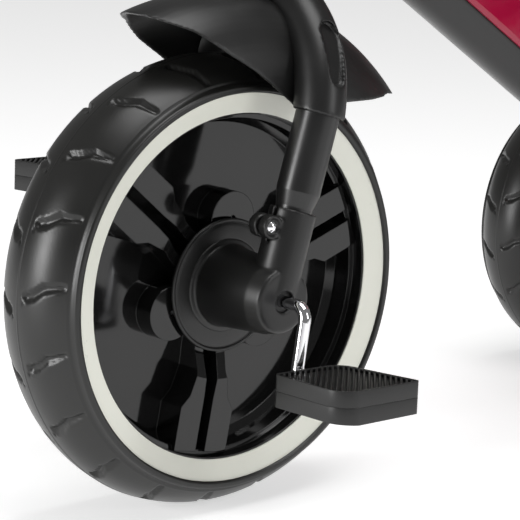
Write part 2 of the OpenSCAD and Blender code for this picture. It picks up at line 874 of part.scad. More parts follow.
module axle_nuts() {
    color(steel)
        both_sides() translate(rear_axle + [nut_x, 0, 0]) along_x()
            difference() {
                union() {
                    cylinder(r = axle_r + 5, h = 1.5);
                    translate([0, 0, 1.5]) cylinder(r = axle_r + 4, h = 6, $fn = 6);
                }
                translate([0, 0, -1]) cylinder(r = axle_r, h = 10);
            }
}

// ---------- seat ----------

module seat_post() {
    low_z = rear_axle[2] + seat_back * beam_slope;
    color(charcoal)
        difference() {
            translate([0, seat_y, low_z]) tube(post_r, seat_z - low_z, 2);
            at_beam() cylinder(r = beam_r, h = beam_len);
        }
}

bolt_at = [for (x = [-38, 38]) for (y = [-45, 45]) [x, seat_y + y, seat_z]];

module seat_plate() {
    color(charcoal)
        difference() {
            translate([-50, seat_y - 60, seat_z]) cube([100, 120, plate_t]);
            for (p = bolt_at) translate(p - [0, 0, 1]) cylinder(r = 3.2, h = plate_t + 2);
        }
}

module seat_bolts() {
    color(steel)
        for (p = bolt_at) {
            translate(p - [0, 0, 4]) cylinder(r = 3, h = 4 + plate_t + shell_t);
            translate(p - [0, 0, 4]) cylinder(r = 5.5, h = 4, $fn = 6);
        }
}

// The seat's own frame: Y runs back from the front edge of the pan, Z up from the plate
module at_seat() {
    translate([0, seat_y - seat_len / 2, seat_z + plate_t]) children();
}

// Side view of the seat: a pan that turns up into the back, thickened outwards by t
function seat_line(t) =
    concat(
        arc(14, 30, 30 + t, 250, 270, 4),
        arc(seat_len - 40, 40, 40 + t, 270, 360 - back_lean, 8),
        [[seat_len - 40 + (40 + t) * cos(back_lean) + (back_h - 40) * sin(back_lean),
          40 - (40 + t) * sin(back_lean) + (back_h - 40) * cos(back_lean)]]
    );

module seat_profile(inner, outer, width) {
    rotate([90, 0, 90]) translate([0, 0, -width / 2]) linear_extrude(width)
        polygon(concat(
            seat_line(outer),
            [for (i = [len(seat_line(inner)) - 1:-1:0]) seat_line(inner)[i]]
        ));
}

// Moulded seat: pan, back and low side wings
module seat_shell() {
    wing_h = 34;
    color(crimson)
        difference() {
            at_seat() translate([0, 0, shell_t]) union() {
                seat_profile(0, shell_t, seat_w);
                both_sides() translate([seat_w / 2 - shell_t / 2, 0, 0])
                    seat_profile(-wing_h, 0, shell_t);
            }
            for (p = bolt_at) translate(p) cylinder(r = 3.05, h = plate_t + shell_t);
        }
}

module seat_cushion() {
    color(fabric)
        at_seat() translate([0, 0, shell_t + 0.2])
            intersection() {
                translate([-pad_w / 2, 8, 0]) cube([pad_w, seat_len - 52, pad_t]);
                translate([0, 0, 0.2]) seat_profile(-pad_t, 0, seat_w);
            }
}

module back_cushion() {
    color(fabric)
        at_seat() translate([0, 0, shell_t])
            translate([0, seat_len - 40, 40]) rotate([-back_lean, 0, 0])
                translate([-pad_w / 2, 40 - pad_t - 0.4, 4]) cube([pad_w, pad_t, back_h - 54]);
}

// ---------- rear wheels ----------

module at_rear(side) {
    mirror([side, 0, 0]) translate(rear_axle + [track / 2, 0, 0]) children();
}

module rear_tyre(side) {
    at_rear(side) tyre(rear_r, rear_tyre_w, rear_tyre_h);
}

module rear_discs(side) {
    at_rear(side) both_sides() translate([joint_gap, 0, 0])
        disc_half(rear_r, rear_tyre_w, rear_tyre_h, rear_ring_w, rear_hub_r, rear_hub_half, rear_bush_r,
                  rear_dish);
}

module rear_wheel_screws(side) {
    at_rear(side) disc_screws(rear_r, rear_tyre_h, rear_dish);
}

module rear_rings(side) {
    at_rear(side) both_sides()
        trim_ring(rear_r, rear_tyre_w, rear_tyre_h, rear_ring_w);
}

module rear_bushes(side) {
    color("white")
        at_rear(side) both_sides() along_x() difference() {
            translate([0, 0, 2]) cylinder(r = rear_bush_r, h = rear_hub_half - 2);
            cylinder(r = axle_r + run, h = rear_hub_half + 1);
        }
}

// Round cap pressed over the outer end of the hub
module hub_cap(side) {
    cap_h = 14;
    color(charcoal)
        at_rear(side) translate([rear_hub_half - cap_lap, 0, 0]) along_x() difference() {
            cylinder(r1 = rear_hub_r + 4, r2 = rear_hub_r + 1, h = cap_h + cap_lap);
            translate([0, 0, -1]) cylinder(r = rear_hub_r + 0.1, h = cap_lap + 1 + 2 * joint_gap);
            translate([0, 0, -1]) cylinder(r = rear_hub_r - 2, h = cap_h + 2.5);
        }
}

module rear_tyre_left() { rear_tyre(0); }
module rear_tyre_right() { rear_tyre(1); }
module rear_discs_left() { rear_discs(0); }
module rear_discs_right() { rear_discs(1); }
module rear_wheel_screws_left() { rear_wheel_screws(0); }
module rear_wheel_screws_right() { rear_wheel_screws(1); }
module rear_rings_left() { rear_rings(0); }
module rear_rings_right() { rear_rings(1); }
module rear_bushes_left() { rear_bushes(0); }
module rear_bushes_right() { rear_bushes(1); }
module hub_cap_left() { hub_cap(0); }
module hub_cap_right() { hub_cap(1); }

main_beam();
head_tube();
headset_bushes();
body_cover();
rear_axle_tube();
rear_axle_rod();
axle_spacers();
axle_nuts();
seat_post();
seat_plate();
seat_shell();
seat_cushion();
back_cushion();
seat_bolts();
fork_yoke();
front_fender();
steerer_tube();
fork_leg_left();
fork_leg_right();
hub_housing_left();
hub_housing_right();
dust_covers();
crank_bushes();
clamp_bolts();
clamp_nuts();
yoke_screws();
headset_rings();
handlebar_stem();
stem_bolts();
handlebar();
grip_left();
grip_right();
front_tyre();
front_disc_left();
front_disc_right();
front_ring_left();
front_ring_right();
front_wheel_screws();
crankshaft();
drive_plate();
pedal_collars();
pedal_left_upper();
pedal_left_lower();
pedal_left_screws();
pedal_right_upper();
pedal_right_lower();
pedal_right_screws();
rear_tyre_left();
rear_discs_left();
rear_rings_left();
rear_bushes_left();
rear_wheel_screws_left();
hub_cap_left();
rear_tyre_right();
rear_discs_right();
rear_rings_right();
rear_bushes_right();
rear_wheel_screws_right();
hub_cap_right();
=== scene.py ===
# Children's tricycle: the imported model, dressed and finished for display.
import json
import math

import bpy
import numpy as np
from mathutils import Matrix, Vector


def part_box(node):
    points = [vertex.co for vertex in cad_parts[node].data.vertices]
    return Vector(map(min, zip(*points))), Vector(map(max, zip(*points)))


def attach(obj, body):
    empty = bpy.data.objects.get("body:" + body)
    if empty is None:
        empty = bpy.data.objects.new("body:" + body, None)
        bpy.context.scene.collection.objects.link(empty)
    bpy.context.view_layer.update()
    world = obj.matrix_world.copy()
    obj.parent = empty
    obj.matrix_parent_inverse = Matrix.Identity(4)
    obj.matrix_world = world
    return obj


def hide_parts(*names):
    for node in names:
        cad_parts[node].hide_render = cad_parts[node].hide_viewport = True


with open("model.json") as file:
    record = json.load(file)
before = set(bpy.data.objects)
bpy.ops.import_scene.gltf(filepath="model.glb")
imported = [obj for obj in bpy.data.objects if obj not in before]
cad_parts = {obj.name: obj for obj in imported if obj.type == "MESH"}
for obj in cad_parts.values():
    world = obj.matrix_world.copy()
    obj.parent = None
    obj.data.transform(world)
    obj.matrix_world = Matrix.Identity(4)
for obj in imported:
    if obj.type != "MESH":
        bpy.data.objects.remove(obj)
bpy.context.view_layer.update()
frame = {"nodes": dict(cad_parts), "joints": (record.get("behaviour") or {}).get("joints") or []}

nodes = frame["nodes"]
joints = {j["name"]: j for j in frame["joints"]}
front_hub = Vector(joints["front_wheel_spin"]["pos_m"])
mm = 0.001


# ---------------------------------------------------------------- camera, floor and studio light
# The tricycle stands on a seamless pale floor, lit by broad soft boxes, and is seen from in front
# of its left front wheel, a little above the axle.
camera = bpy.data.objects.new("camera", bpy.data.cameras.new("camera"))
bpy.context.scene.collection.objects.link(camera)
bpy.context.scene.camera = camera
camera.data.lens = 170.8
camera.data.sensor_width = 36
camera.data.clip_end = 50
camera.location = front_hub + Vector((1.2241, -1.0167, 0.3400))
camera.matrix_world = (Matrix.Translation(camera.location)
                       @ Matrix.Rotation(math.radians(48.97), 4, 'Z')
                       @ Matrix.Rotation(math.radians(78.42), 4, 'X')
                       @ Matrix.Rotation(math.radians(2.19), 4, 'Z'))

bpy.ops.mesh.primitive_plane_add(size=60, location=(0, 0, 0))
floor = bpy.context.object
floor.name = "floor"
paper = bpy.data.materials.new("studio_paper")
paper.use_nodes = True
paper_shader = paper.node_tree.nodes["Principled BSDF"]
paper_shader.inputs["Base Color"].default_value = (0.86, 0.86, 0.86, 1)
paper_shader.inputs["Roughness"].default_value = 0.9
paper_shader.inputs["Specular IOR Level"].default_value = 0.0
paper_shader.inputs["Emission Color"].default_value = (1, 1, 1, 1)
paper_shader.inputs["Emission Strength"].default_value = 0.55
floor.data.materials.append(paper)

# The backdrop is white to the eye, and lights the tricycle less than it shows.
world = bpy.data.worlds.new("studio")
bpy.context.scene.world = world
world.use_nodes = True
sky = world.node_tree.nodes["Background"]
seen = world.node_tree.nodes.new("ShaderNodeLightPath")
strength = world.node_tree.nodes.new("ShaderNodeMapRange")
strength.inputs["To Min"].default_value = 0.20
strength.inputs["To Max"].default_value = 1.15
world.node_tree.links.new(seen.outputs["Is Camera Ray"], strength.inputs["Value"])
world.node_tree.links.new(strength.outputs["Result"], sky.inputs["Strength"])
sky.inputs["Color"].default_value = (1, 1, 1, 1)

bpy.context.scene.view_settings.view_transform = 'Standard'


def soft_box(name, place, aim, size, power):
    data = bpy.data.lights.new(name, 'AREA')
    data.shape = 'RECTANGLE'
    data.size, data.size_y = size
    data.energy = power
    box = bpy.data.objects.new(name, data)
    bpy.context.scene.collection.objects.link(box)
    box.location = place
    box.rotation_euler = (Vector(aim) - Vector(place)).to_track_quat('-Z', 'Y').to_euler()


soft_box("top_box", (0.3, -0.1, 2.4), (0, -0.1, 0.2), (1.5, 1.5), 30)
soft_box("front_box", (-0.3, -2.3, 0.55), (0, -0.2, 0.2), (0.6, 0.9), 24)
soft_box("side_box", (2.2, 0.6, 1.2), (0, -0.1, 0.2), (0.5, 1.2), 12)


# ---------------------------------------------------------------- front and rear tyres
# Moulded from foam rubber, with a thin raised parting line round the crown. Each side has a ring
# of shallow wavy grooves, hooked beside that line, and a rounded shoulder above the rim.
def new_group(name, inputs, outputs):
    group = bpy.data.node_groups.new(name, "ShaderNodeTree")
    for label, value in inputs.items():
        socket = group.interface.new_socket(label, in_out='INPUT', socket_type='NodeSocketFloat')
        socket.default_value = value
    for label, kind in outputs.items():
        group.interface.new_socket(label, in_out='OUTPUT', socket_type=kind)
    return group, group.nodes.new("NodeGroupInput"), group.nodes.new("NodeGroupOutput")


def add_node(tree, kind, **settings):
    node = tree.nodes.new(kind)
    for label, value in settings.items():
        setattr(node, label, value)
    return node


def noise(tree, scale, detail, roughness=0.5):
    place = tree.nodes.new("ShaderNodeTexCoord")
    n = tree.nodes.new("ShaderNodeTexNoise")
    tree.links.new(place.outputs["Object"], n.inputs["Vector"])
    if isinstance(scale, (int, float)):
        n.inputs["Scale"].default_value = scale
    else:
        tree.links.new(scale, n.inputs["Scale"])
    n.inputs["Detail"].default_value = detail
    n.inputs["Roughness"].default_value = roughness
    return n.outputs["Fac"]


def arithmetic(tree, operation, a, b, clamp=False):
    n = add_node(tree, "ShaderNodeMath", operation=operation, use_clamp=clamp)
    for socket, value in zip(n.inputs, (a, b)):
        if isinstance(value, (int, float)):
            socket.default_value = value
        else:
            tree.links.new(value, socket)
    return n.outputs["Value"]


def build_grain():
    """Fine moulded grain over softened edges, and a slow mottle for colour and gloss."""
    g, given, result = new_group(
        "moulded_grain", {"Size": 1500.0, "Depth": 0.00003, "Edge": 0.0006},
        {"Normal": "NodeSocketVector", "Mottle": "NodeSocketFloat"})
    soft = add_node(g, "ShaderNodeBevel", samples=4)
    g.links.new(given.outputs["Edge"], soft.inputs["Radius"])
    bump = g.nodes.new("ShaderNodeBump")
    g.links.new(noise(g, given.outputs["Size"], 2), bump.inputs["Height"])
    g.links.new(given.outputs["Depth"], bump.inputs["Distance"])
    g.links.new(soft.outputs["Normal"], bump.inputs["Normal"])
    g.links.new(bump.outputs["Normal"], result.inputs["Normal"])
    g.links.new(noise(g, 22, 5, 0.65), result.inputs["Mottle"])
    return g


def build_wear():
    """Where edges are rubbed: the normal turns away from the softened one."""
    g, given, result = new_group("edge_wear", {"Width": 0.0008, "Amount": 0.5},
                                 {"Wear": "NodeSocketFloat"})
    soft = add_node(g, "ShaderNodeBevel", samples=4)
    g.links.new(given.outputs["Width"], soft.inputs["Radius"])
    here = g.nodes.new("ShaderNodeNewGeometry")
    dot = add_node(g, "ShaderNodeVectorMath", operation='DOT_PRODUCT')
    g.links.new(soft.outputs["Normal"], dot.inputs[0])
    g.links.new(here.outputs["Normal"], dot.inputs[1])
    turned = arithmetic(g, 'SUBTRACT', 1.0, dot.outputs["Value"], True)
    broken = arithmetic(g, 'MULTIPLY', turned, arithmetic(g, 'MULTIPLY', noise(g, 160, 4), 6.0))
    g.links.new(arithmetic(g, 'MULTIPLY', broken, given.outputs["Amount"], True), result.inputs["Wear"])
    return g


def build_dust():
    """A film of dust that settles on faces that look up."""
    g, given, result = new_group("dust", {"Amount": 0.1}, {"Dust": "NodeSocketFloat"})
    here = g.nodes.new("ShaderNodeNewGeometry")
    parts = g.nodes.new("ShaderNodeSeparateXYZ")
    g.links.new(here.outputs["Normal"], parts.inputs["Vector"])
    up = arithmetic(g, 'MULTIPLY', arithmetic(g, 'SUBTRACT', parts.outputs["Z"], 0.2), 1.2, True)
    patchy = arithmetic(g, 'MULTIPLY', up, noise(g, 45, 6, 0.7))
    g.links.new(arithmetic(g, 'MULTIPLY', patchy, given.outputs["Amount"], True), result.inputs["Dust"])
    return g


grain_group, wear_group, dust_group = build_grain(), build_wear(), build_dust()


def place_group(tree, group, **values):
    n = add_node(tree, "ShaderNodeGroup", node_tree=group)
    for label, value in values.items():
        n.inputs[label].default_value = value
    return n


def blend_colour(tree, share, a, b):
    n = add_node(tree, "ShaderNodeMix", data_type='RGBA')
    tree.links.new(share, n.inputs["Factor"])
    sockets = [s for s in n.inputs if s.type == 'RGBA']
    for socket, value in zip(sockets, (a, b)):
        if isinstance(value, tuple):
            socket.default_value = (*value, 1)
        else:
            tree.links.new(value, socket)
    return next(s for s in n.outputs if s.type == 'RGBA')


def finish(name, dark, light, gloss, grain=1500.0, depth=0.00003, edge=0.0006, wear=0.4,
           worn=(0.25, 0.25, 0.25), dust=0.10, **shader):
    """A finish between two colours and two roughnesses, with grain, rubbed edges and dust."""
    m = bpy.data.materials.new(name)
    m.use_nodes = True
    tree = m.node_tree
    bsdf = tree.nodes["Principled BSDF"]
    skin = place_group(tree, grain_group, Size=grain, Depth=depth, Edge=edge)
    rubbed = place_group(tree, wear_group, Width=edge * 1.3, Amount=wear)
    film = place_group(tree, dust_group, Amount=dust)
    colour = blend_colour(tree, skin.outputs["Mottle"], dark, light)
    colour = blend_colour(tree, rubbed.outputs["Wear"], colour, worn)
    colour = blend_colour(tree, film.outputs["Dust"], colour, (0.42, 0.40, 0.37))
    tree.links.new(colour, bsdf.inputs["Base Color"])
    spread = tree.nodes.new("ShaderNodeMapRange")
    spread.inputs["From Min"].default_value, spread.inputs["From Max"].default_value = 0.3, 0.7
    spread.inputs["To Min"].default_value, spread.inputs["To Max"].default_value = gloss
    tree.links.new(skin.outputs["Mottle"], spread.inputs["Value"])
    tree.links.new(spread.outputs["Result"], bsdf.inputs["Roughness"])
    tree.links.new(skin.outputs["Normal"], bsdf.inputs["Normal"])
    for label, value in shader.items():
        bsdf.inputs[label.replace("_", " ")].default_value = value
    return m


tyre_rubber = finish("tyre_rubber", (0.007, 0.007, 0.0065), (0.012, 0.012, 0.0112), (0.30, 0.38),
                     grain=900, depth=0.00004, edge=0.0005, wear=0.06, worn=(0.08, 0.08, 0.08),
                     dust=0.02)


def select_only(piece):
    bpy.ops.object.select_all(action='DESELECT')
    piece.select_set(True)
    bpy.context.view_layer.objects.active = piece


def apply_modifier(piece, kind, **settings):
    modifier = piece.modifiers.new(kind.lower(), kind)
    for label, value in settings.items():
        setattr(modifier, label, value)
    select_only(piece)
    bpy.ops.object.modifier_apply(modifier=modifier.name)


def hold_place(piece, name, material, slot, body, *replaced):
    """Put a finished piece's place in its mesh, tie it to its body, and hide the CAD nodes it stands in
    for.
    """
    select_only(piece)
    bpy.ops.object.transform_apply(location=True, rotation=True, scale=True)
    piece.name = piece.data.name = name
    piece.data.materials.clear()
    piece.data.materials.append(material)
    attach(piece, body)
    if replaced:
        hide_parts(*replaced)


def lathe(section, steps, centre):
    """Spin a closed section of (radius, offset along X) pairs, in millimetres, about an axle."""
    bpy.ops.object.select_all(action='DESELECT')
    bpy.ops.mesh.primitive_circle_add(vertices=len(section), radius=0.01, location=(0, 0, 0))
    piece = bpy.context.object
    for vertex, (radius, offset) in zip(piece.data.vertices, section):
        vertex.co = Vector((offset * mm, 0, radius * mm))
    bpy.ops.object.mode_set(mode='EDIT')
    bpy.ops.mesh.select_all(action='SELECT')
    bpy.ops.mesh.spin(steps=steps, angle=math.tau, center=(0, 0, 0), axis=(1, 0, 0))
    bpy.ops.mesh.select_all(action='SELECT')
    bpy.ops.mesh.remove_doubles(threshold=0.00002)
    bpy.ops.mesh.normals_make_consistent(inside=False)
    bpy.ops.object.mode_set(mode='OBJECT')
    piece.location = centre
    return piece


def smooth_step(x):
    x = min(max(x, 0.0), 1.0)
    return x * x * (3 - 2 * x)


def along(table, x):
    """Straight-line value of a table of (x, y) pairs."""
    for (x0, y0), (x1, y1) in zip(table, table[1:]):
        if x <= x1:
            return y0 + (y1 - y0) * (x - x0) / (x1 - x0)
    return table[-1][1]


# upper edge of a groove and its width, against the distance from the parting line, as shares of
# the tyre's half width
groove_line = [(0.10, -0.26), (0.16, 0.0), (0.36, 0.07), (0.54, 0.21), (0.84, 0.24)]
groove_width = [(0.10, 0.03), (0.20, 0.20), (0.36, 0.21), (0.60, 0.19), (0.84, 0.10)]


def tyre_section(radius, width, height):
    half = width / 2
    crown = width * 0.585
    edge = math.asin(half * 0.84 / crown)
    ring = radius - height
    side = [(radius + 0.3, 0.0), (radius, 0.5)]
    side += [(radius - crown + crown * math.cos(edge * i / 30), crown * math.sin(edge * i / 30))
             for i in range(1, 31)]
    last = side[-1]
    side += [(last[0] - 0.6, last[1] + 0.7), (last[0] - 1.7, last[1] + 0.9)]
    foot = (ring + 4.5, half - 0.7)
    top = side[-1]
    for i in range(1, 9):
        t = i / 8
        sag = 0.9 * math.sin(math.pi * t)
        side.append((top[0] + (foot[0] - top[0]) * t, top[1] + (foot[1] - top[1]) * t - sag))
    side += [(ring + 3.4, half - 0.2), (ring + 1.6, half), (ring + 0.3, half - 0.5),
             (ring + 0.3, half - 7.2), (ring - 9.5, half - 7.5)]
    other = [(r, -x) for r, x in reversed(side[1:])]
    return side + other


def tread_tyre(name, centre, radius, width, height, grooves, depth, phase, body, node):
    tyre = lathe(tyre_section(radius, width, height), 560, centre)
    cut = tyre.vertex_groups.new(name="grooves")
    half = width / 2
    pitch = math.tau / grooves
    for vertex in tyre.data.vertices:
        x, y, z = (c / mm for c in vertex.co)
        share = abs(x) / half
        if math.hypot(y, z) < radius - height * 0.62 or not 0.08 < share < 0.88:
            continue
        turned = -math.atan2(-y, z) + phase + (0.0 if x > 0 else pitch * 0.22)
        place = ((turned / pitch) % 1.0 - 0.5) * pitch * radius / half
        upper = along(groove_line, share)
        lower = upper - along(groove_width, share)
        weight = (smooth_step((upper - place) / 0.035) * smooth_step((place - lower) / 0.085)
                  * smooth_step((share - 0.095) / 0.03) * smooth_step((0.85 - share) / 0.04))
        if weight > 0:
            cut.add([vertex.index], weight, 'REPLACE')
    apply_modifier(tyre, 'DISPLACE', strength=-depth * mm, mid_level=0.0, vertex_group="grooves")
    bpy.ops.object.shade_smooth()
    hold_place(tyre, name, tyre_rubber, "tyre_rubber", body, node)


def wheel_size(node):
    """Centre, radius and width of a wheel's tyre, from its CAD box."""
    low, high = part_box(node)
    return (low + high) / 2, (high.z - low.z) / 2 / mm, (high.x - low.x) / mm


def ring_top(node):
    low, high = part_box(node)
    return (high.z - low.z) / 2 / mm


tyres = [("front", "front_tyre", "front_ring_left", "front_wheel", 20),
         ("rear_left", "rear_tyre_left", "rear_rings_left", "rear_wheel_left", 18),
         ("rear_right", "rear_tyre_right", "rear_rings_right", "rear_wheel_right", 18)]
for label, tyre_node, ring_node, body, grooves in tyres:
    centre, radius, width = wheel_size(tyre_node)
    height = radius - ring_top(ring_node)
    tread_tyre(f"tread_tyre_{label}", centre, radius, width, height, grooves,
               0.034 * width, 0.10, body, tyre_node)


# ---------------------------------------------------------------- wheel discs, trim rings and fixings
# Each disc is two glossy black mouldings screwed together through three bosses. A cream trim
# ring is pressed into the step outside the rim on each face.
def dress(material, *names):
    for name in names:
        nodes[name].data.materials.clear()
        nodes[name].data.materials.append(material)


gloss_black = finish("gloss_black", (0.004, 0.004, 0.004), (0.006, 0.006, 0.006), (0.06, 0.10),
                     grain=300, depth=0.000004, edge=0.0009, wear=0.05, dust=0.01)
trim_cream = finish("trim_cream", (0.80, 0.81, 0.72), (0.86, 0.86, 0.78), (0.26, 0.36),
                    grain=900, depth=0.00001, edge=0.0005, wear=0.15, worn=(0.7, 0.68, 0.6), dust=0.05)
zinc_steel = finish("zinc_steel", (0.50, 0.51, 0.52), (0.62, 0.63, 0.64), (0.24, 0.40),
                    grain=700, depth=0.00001, edge=0.0004, wear=0.3, worn=(0.7, 0.7, 0.7), dust=0.05,
                    Metallic=1.0)
chrome = finish("chrome", (0.78, 0.78, 0.80), (0.86, 0.86, 0.88), (0.04, 0.08),
                grain=400, depth=0.000002, edge=0.0003, wear=0.0, dust=0.02, Metallic=1.0)
# Black nylon bushes, made dark enough that they also paint in the shade of the recessed bore round the
# crank rod.
nylon = finish("nylon", (0.010, 0.010, 0.010), (0.018, 0.018, 0.018), (0.45, 0.6),
               grain=900, depth=0.00002, edge=0.0004, wear=0.1, dust=0.05)

dress(gloss_black, "front_disc_left", "front_disc_right", "rear_discs_left", "rear_discs_right")
dress(trim_cream, "front_ring_left", "front_ring_right", "rear_rings_left", "rear_rings_right")
dress(zinc_steel, "front_wheel_screws", "rear_wheel_screws_left", "rear_wheel_screws_right",
      "drive_plate", "pedal_collars", "pedal_left_screws", "pedal_right_screws", "rear_axle_rod",
      "axle_spacers", "axle_nuts", "clamp_nuts", "yoke_screws", "headset_rings", "stem_bolts",
      "steerer_tube", "seat_bolts")
dress(chrome, "crankshaft", "clamp_bolts")
dress(nylon, "crank_bushes", "headset_bushes", "rear_bushes_left", "rear_bushes_right")


# ---------------------------------------------------------------- hub housings and dust covers
# Tapered fork ends in satin plastic, blended by soft fillets into the raked socket that grips
# the leg. Thin round covers with a raised rim keep dirt out of the hub.
satin_plastic = finish("charcoal_plastic", (0.005, 0.005, 0.005), (0.009, 0.009, 0.0088), (0.33, 0.42),
                       grain=2600, depth=0.00003, edge=0.0008, wear=0.15, worn=(0.05, 0.05, 0.05),
                       dust=0.01)


def welded_copy(node):
    """A free copy of a CAD node, with its faces joined along their edges."""
    piece = nodes[node].copy()
    piece.data = nodes[node].data.copy()
    for key in list(piece.keys()):
        del piece[key]
    piece.parent = None
    bpy.context.scene.collection.objects.link(piece)
    apply_modifier(piece, 'WELD', merge_threshold=0.00001)
    return piece


def moulded_copy(node, voxel, passes):
    """A copy of a CAD node, remeshed and relaxed so that its inner corners become fillets."""
    piece = welded_copy(node)
    apply_modifier(piece, 'REMESH', mode='VOXEL', voxel_size=voxel * mm)
    apply_modifier(piece, 'SMOOTH', factor=0.5, iterations=passes)
    bpy.ops.object.shade_smooth()
    return piece


for side in ("left", "right"):
    housing = moulded_copy(f"hub_housing_{side}", 0.8, 6)
    hold_place(housing, f"moulded_hub_{side}", satin_plastic, "charcoal_plastic", "fork",
               f"hub_housing_{side}")
dress(satin_plastic, "hub_cap_left", "hub_cap_right")

cover_low, cover_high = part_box("dust_covers")
cover_r = (cover_high.z - cover_low.z) / 2 / mm
cover_x = cover_high.x / mm
rim = [(cover_r - 1.3 + 1.3 * math.cos(math.radians(a)), cover_x - 1.3 + 1.3 * math.sin(math.radians(a)))
       for a in range(-60, 181, 20)]
cover_section = [(30.5, cover_x - 2.0), (cover_r - 3, cover_x - 2.4), *rim,
                 (cover_r - 3.2, cover_x - 1.0), (cover_r - 5.5, cover_x - 0.5), (30.5, cover_x - 0.4)]
for label, side in (("left", 1), ("right", -1)):
    cover = lathe([(r, side * x) for r, x in cover_section], 128, front_hub)
    bpy.ops.object.shade_smooth_by_angle(angle=math.radians(50))
    hold_place(cover, f"dust_cover_{label}", satin_plastic, "charcoal_plastic", "fork", "dust_covers")


# ---------------------------------------------------------------- yoke and front fender
# One moulding carries the legs and the steerer, with a long recess in the face of each arm. The
# thin fender is welded under it.
yoke = moulded_copy("fork_yoke", 1.1, 5)
hold_place(yoke, "moulded_yoke", satin_plastic, "charcoal_plastic", "fork", "fork_yoke")
fender = moulded_copy("front_fender", 1.1, 3)
hold_place(fender, "moulded_fender", satin_plastic, "charcoal_plastic", "fork", "front_fender")


# ---------------------------------------------------------------- frame tubes
# Steel tubes, welded and powder coated in satin charcoal.
charcoal_paint = finish("charcoal_paint", (0.006, 0.006, 0.006), (0.010, 0.010, 0.010), (0.28, 0.36),
                        grain=1400, depth=0.00002, edge=0.0007, wear=0.15, worn=(0.06, 0.06, 0.06),
                        dust=0.01, Coat_Weight=0.10, Coat_Roughness=0.2)
dress(charcoal_paint, "main_beam", "head_tube", "rear_axle_tube", "seat_post", "seat_plate",
      "fork_leg_left", "fork_leg_right", "handlebar_stem", "handlebar")


# ---------------------------------------------------------------- crimson mouldings
# The beam's cover and the seat shell are injection moulded in glossy crimson.
crimson = finish("crimson", (0.30, 0.002, 0.030), (0.40, 0.004, 0.045), (0.18, 0.26),
                 grain=500, depth=0.000008, edge=0.0008, wear=0.2, worn=(0.55, 0.08, 0.14), dust=0.02,
                 Coat_Weight=0.15, Coat_Roughness=0.08)
cover = welded_copy("body_cover")
apply_modifier(cover, 'DECIMATE', decimate_type='DISSOLVE', angle_limit=math.radians(1))
apply_modifier(cover, 'BEVEL', width=2.4 * mm, segments=4, limit_method='ANGLE',
               angle_limit=math.radians(20))
bpy.ops.object.shade_smooth_by_angle(angle=math.radians(40))
hold_place(cover, "crimson_cover", crimson, "crimson", "frame", "body_cover")

shell = moulded_copy("seat_shell", 2.0, 4)
hold_place(shell, "crimson_seat", crimson, "crimson", "frame", "seat_shell")


# ---------------------------------------------------------------- pedals
# Each pedal is two hollow mouldings screwed together on the crank rod. The tread is a field of
# fine ribs inside a thin rim, and the lower half swells into a belly near its outer end.
def pedal_outline(a, front, back):
    """Outline seen from above, round its spindle: two opposite corners sharp and two well rounded."""
    points = []
    for cx, cy, radius, start, end in ((-a + 3, -front + 3, 3, 180, 268),
                                       (a - 17.5, -front + 18.5, 16, 278, 355),
                                       (a - 3, back - 3, 3, -2, 88),
                                       (-a + 17.5, back - 26.5, 16, 98, 175)):
        for i in range(13):
            turned = math.radians(start + (end - start) * i / 12)
            points.append((cx + radius * math.cos(turned), cy + radius * math.sin(turned)))
    return points


def flat_face(points, height):
    """A face through points in millimetres, left selected in edit mode."""
    bpy.ops.object.select_all(action='DESELECT')
    bpy.ops.mesh.primitive_circle_add(vertices=len(points), radius=0.01, location=(0, 0, 0))
    piece = bpy.context.object
    for vertex, (x, y) in zip(piece.data.vertices, points):
        vertex.co = Vector((x * mm, y * mm, height * mm))
    bpy.ops.object.mode_set(mode='EDIT')
    bpy.ops.mesh.select_all(action='SELECT')
    bpy.ops.mesh.edge_face_add()
    return piece


def chord(points, middle, direction):
    """Where a line crosses an outline, as the nearest and furthest distances along it."""
    normal = (-direction[1], direction[0])
    cuts = []
    for (x0, y0), (x1, y1) in zip(points, points[1:] + points[:1]):
        s0 = (x0 - middle[0]) * normal[0] + (y0 - middle[1]) * normal[1]
        s1 = (x1 - middle[0]) * normal[0] + (y1 - middle[1]) * normal[1]
        if s0 * s1 < 0:
            t = s0 / (s0 - s1)
            x, y = x0 + (x1 - x0) * t, y0 + (y1 - y0) * t
            cuts.append((x - middle[0]) * direction[0] + (y - middle[1]) * direction[1])
    return (min(cuts), max(cuts)) if len(cuts) > 1 else None


